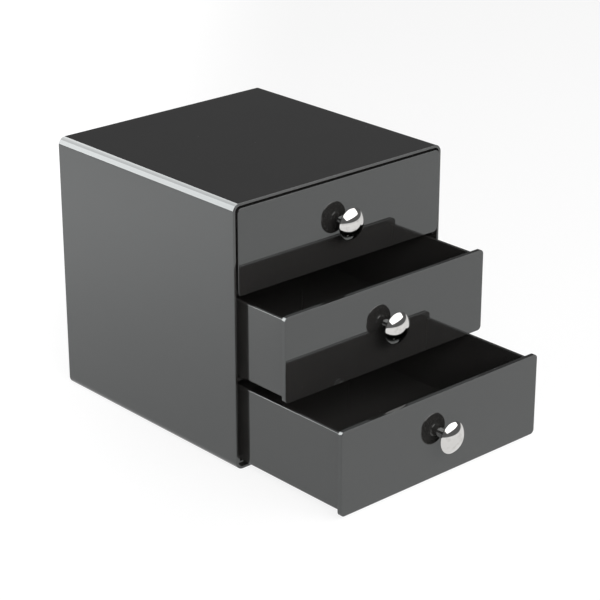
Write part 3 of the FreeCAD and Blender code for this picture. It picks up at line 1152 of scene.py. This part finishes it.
    @staticmethod
    def seat(bm: BMesh, depth: float, low: Vector, high: Vector) -> None:
        """Move a turned mesh along Y to a depth and up to the middle of its node's box."""
        bmesh.ops.translate(bm, vec=(0.0, depth, (low.z + high.z) / 2), verts=bm.verts)

    def make_screw(self) -> Object:
        """Pan-head screw with a cross recess in its head.

        Returns:
            The screw.
        """
        node = f"knob_screw_{self.place}"
        low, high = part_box(node)
        radius = (high.x - low.x) / 2
        length = high.y - low.y - self.head_height
        flat = radius - self.head_round
        outline = Turning(0.0, length)
        outline.line_to(self.shank - self.shank_tip, length)
        outline.line_to(self.shank, length - self.shank_tip)
        outline.line_to(self.shank, 0.0)
        outline.line_to(radius, 0.0)
        outline.line_to(radius, self.head_round - self.head_height)
        outline.arc(flat, self.head_round - self.head_height, QUARTER_TURN, self.head_steps)
        bm = outline.turn(self.screw_flats)
        bmesh.ops.holes_fill(bm, edges=[edge for edge in bm.edges if edge.is_boundary])
        for place in (self.recess_half_width, self.recess_half_length):
            for side in (-1, 1):
                for axis in (Axis.X, Axis.Z):
                    cut_across(bm, axis, side * place, self.crown_faces(bm))
        recess = [face for face in self.crown_faces(bm) if self.in_cross(face)]
        floor = raise_faces(bm, recess, Vector((0.0, -self.recess_depth, 0.0)))
        bmesh.ops.scale(bm, vec=(self.recess_taper, 1.0, self.recess_taper), verts=floor)
        bmesh.ops.recalc_face_normals(bm, faces=bm.faces)
        self.seat(bm, low.y + length, low, high)
        return self.dress(bm, f"{node}_pan_head", self.screw_finish, Slot.SCREW, node)

    def crown_faces(self, bm: BMesh) -> list[BMFace]:
        """Flat faces on top of the screw's head."""
        return [face for face in faces_towards(bm, Axis.Y, 1)
                if abs(face.calc_center_median().y - self.head_height) < NEAR]

    def in_cross(self, face: BMFace) -> bool:
        """Whether a face lies in the cross.

        Args:
            face: Face of the head's top.

        Returns:
            True if it does.
        """
        middle = face.calc_center_median()
        across, along = sorted((abs(middle.x), abs(middle.z)))
        return across < self.recess_half_width and along < self.recess_half_length

    def make_washer(self) -> Object:
        """Flat ring under the screw's head.

        Returns:
            The washer.
        """
        node = f"knob_washer_{self.place}"
        low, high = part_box(node)
        radius = (high.x - low.x) / 2
        thick = high.y - low.y
        hole = self.shank + self.washer_play
        outline = Turning(hole, 0.0)
        outline.line_to(radius, 0.0).line_to(radius, thick).line_to(hole, thick).line_to(hole, 0.0)
        bm = outline.turn(self.screw_flats)
        round_over(bm, self.washer_edge, is_sharp)
        self.seat(bm, high.y, low, high)
        return self.dress(bm, f"{node}_ring", self.screw_finish, Slot.SCREW, node)


# ---- Studio ----


@dataclass(frozen=True)
class Softbox:
    """Rectangular lamp given by three of its corners as seen from the object."""

    name: str
    corner: Vector
    side_end: Vector
    top_end: Vector
    scale: float
    radiance: float
    lights_diffuse: bool = False
    seen_in_gloss: bool = True

    def hang(self, aim: Vector) -> None:
        """Hang the lamp, with the scale as metres for one unit of its corners.

        Args:
            aim: Point that the corners are measured from.
        """
        along = self.side_end - self.corner
        upward = self.top_end - self.corner
        upward -= along * (along.dot(upward) / along.length_squared)
        width = along.length * self.scale
        height = upward.length * self.scale
        lamp = bpy.data.lights.new(self.name, "AREA")
        lamp.shape = "RECTANGLE"
        lamp.size = width
        lamp.size_y = height
        lamp.energy = self.radiance * math.pi * width * height
        holder = bpy.data.objects.new(self.name, lamp)
        turn = Matrix((along.normalized(), upward.normalized(),
                       along.cross(upward).normalized())).transposed().to_4x4()
        middle = self.corner + (along + upward) / 2
        holder.matrix_world = Matrix.Translation(aim + middle * self.scale) @ turn
        holder.visible_camera = False
        holder.visible_diffuse = self.lights_diffuse
        holder.visible_glossy = self.seen_in_gloss
        bpy.context.scene.collection.objects.link(holder)


@dataclass
class Studio:
    """Pale floor, soft lamps and a dim surround."""

    floor_half: float = 12.0
    floor_cells: int = 8
    aim: Vector = Vector((0.0, -0.03, 0.08))
    rear_right: float = 0.50
    rear_middle: float = -0.42
    rear_left: float = -1.25
    rear_distance: float = 1.0
    rear_foot: float = 0.03
    rear_head: float = 1.30
    horizon: Colour = (0.95, 0.96, 0.97, 1.0)
    upper: Colour = (0.130, 0.131, 0.133, 1.0)
    horizon_height: float = 0.06

    def build(self) -> None:
        """Lay the floor, hang the lamps and set the world."""
        self.lay_floor()
        self.hang_lamps()
        self.set_world()

    def lay_floor(self) -> None:
        """Flat floor that the case stands on."""
        bm = bmesh.new()
        bmesh.ops.create_grid(bm, x_segments=self.floor_cells, y_segments=self.floor_cells,
                              size=self.floor_half)
        mesh = bpy.data.meshes.new("studio_floor")
        bm.to_mesh(mesh)
        bm.free()
        mesh.materials.append(StudioPaper().make())
        floor = bpy.data.objects.new("studio_floor", mesh)
        bpy.context.scene.collection.objects.link(floor)

    def hang_lamps(self) -> None:
        """One softbox in front, two tall ones at the rear and a wide one that lights the trays."""
        Softbox("key_softbox", Vector((-0.265, -0.924, 0.276)), Vector((0.840, -0.446, 0.309)),
                Vector((-0.802, 0.042, 1.147)), scale=2.2, radiance=2.0).hang(self.aim)
        for name, right, left, radiance in (
                ("rear_right_softbox", self.rear_right, self.rear_middle, 4.4),
                ("rear_left_softbox", self.rear_middle, self.rear_left, 7.0)):
            Softbox(name, Vector((right, self.rear_distance, self.rear_foot)),
                    Vector((left, self.rear_distance, self.rear_foot)),
                    Vector((right, self.rear_distance, self.rear_head)),
                    scale=1.6, radiance=radiance).hang(self.aim)
        Softbox("fill_softbox", Vector((-1.6, -1.55, 0.52)), Vector((1.6, -1.55, 0.52)),
                Vector((-1.6, -1.08, 1.17)), scale=1.0, radiance=5.5, lights_diffuse=True,
                seen_in_gloss=False).hang(self.aim)

    def set_world(self) -> None:
        """Surround that is pale at the horizon and dim above it."""
        world = bpy.data.worlds.new("studio_surround")
        bpy.context.scene.world = world
        world.use_nodes = True
        world.node_tree.nodes.clear()
        bench = NodeBench(world.node_tree)
        direction = bench.add("ShaderNodeTexCoord").outputs["Generated"]
        parts = bench.add("ShaderNodeSeparateXYZ")
        bench.feed(parts.inputs["Vector"], direction)
        height = bench.ramp(parts.outputs["Z"], 0.0, self.horizon_height)
        background = bench.add("ShaderNodeBackground")
        bench.feed(background.inputs["Color"], bench.blend(height, self.horizon, self.upper))
        output = bench.add("ShaderNodeOutputWorld")
        bench.feed(output.inputs["Surface"], background.outputs["Background"])


@dataclass
class Viewpoint:
    """Camera on the front left of the organizer, looking down on it."""

    place: Vector = Vector((-0.75799, -0.88621, 0.54121))
    yaw: float = -42.072
    pitch: float = -22.421
    lens: float = 120.517
    sensor: float = 36.0

    def build(self) -> None:
        """Set the camera up."""
        camera = bpy.data.cameras.new("viewpoint")
        camera.lens = self.lens
        camera.sensor_width = self.sensor
        holder = bpy.data.objects.new("viewpoint", camera)
        turn = Matrix.Rotation(math.radians(self.yaw), 4, "Z") @ Matrix.Rotation(
            math.radians(QUARTER_TURN + self.pitch), 4, "X")
        holder.matrix_world = Matrix.Translation(self.place) @ turn
        bpy.context.scene.collection.objects.link(holder)
        bpy.context.scene.camera = holder


def main() -> None:
    """Set the studio up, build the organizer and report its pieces."""
    logging.basicConfig(level=logging.INFO, format="%(message)s")
    bpy.context.scene.view_settings.view_transform = "Standard"
    Viewpoint().build()
    Studio().build()

    effects = Effects()
    case_black = GlossPlastic("case_gloss_black").make(effects)
    shelf_black = GlossPlastic("shelf_gloss_black", roughness=0.06).make(effects)
    # painted light: a lighter copy of the case's black that brightens the shaded inside of the
    # trays
    tray_black = GlossPlastic(
        "tray_gloss_black", base=(0.031, 0.0297, 0.0283, 1.0), mottle=(0.026, 0.0249, 0.0238, 1.0),
        refraction=1.75, ripple=Ripple(wave_depth=3.0e-5)).make(effects)
    # painted shade: a darker copy of the case's black for the fronts
    front_black = GlossPlastic(
        "front_gloss_black", base=(0.0185, 0.0178, 0.0171, 1.0),
        mottle=(0.0155, 0.0149, 0.0143, 1.0), ripple=Ripple(wave_depth=1.0e-5)).make(effects)
    chrome = Chrome("knob_bright_chrome").make(effects)
    zinc = ZincSteel("screw_zinc_steel").make(effects)

    pieces = Case(Body.CASE, case_black, shelf_black).build()
    for body, place in ((Body.BOTTOM, "bottom"), (Body.MIDDLE, "middle"), (Body.TOP, "top")):
        pieces += Drawer(body, place, tray_black, front_black, chrome, zinc).build()
    for piece in pieces:
        LOG.info("%s: %d faces of %s", piece.name, len(piece.data.polygons),
                 piece.data.materials[0].name)


if __name__ == "__main__":
    main()
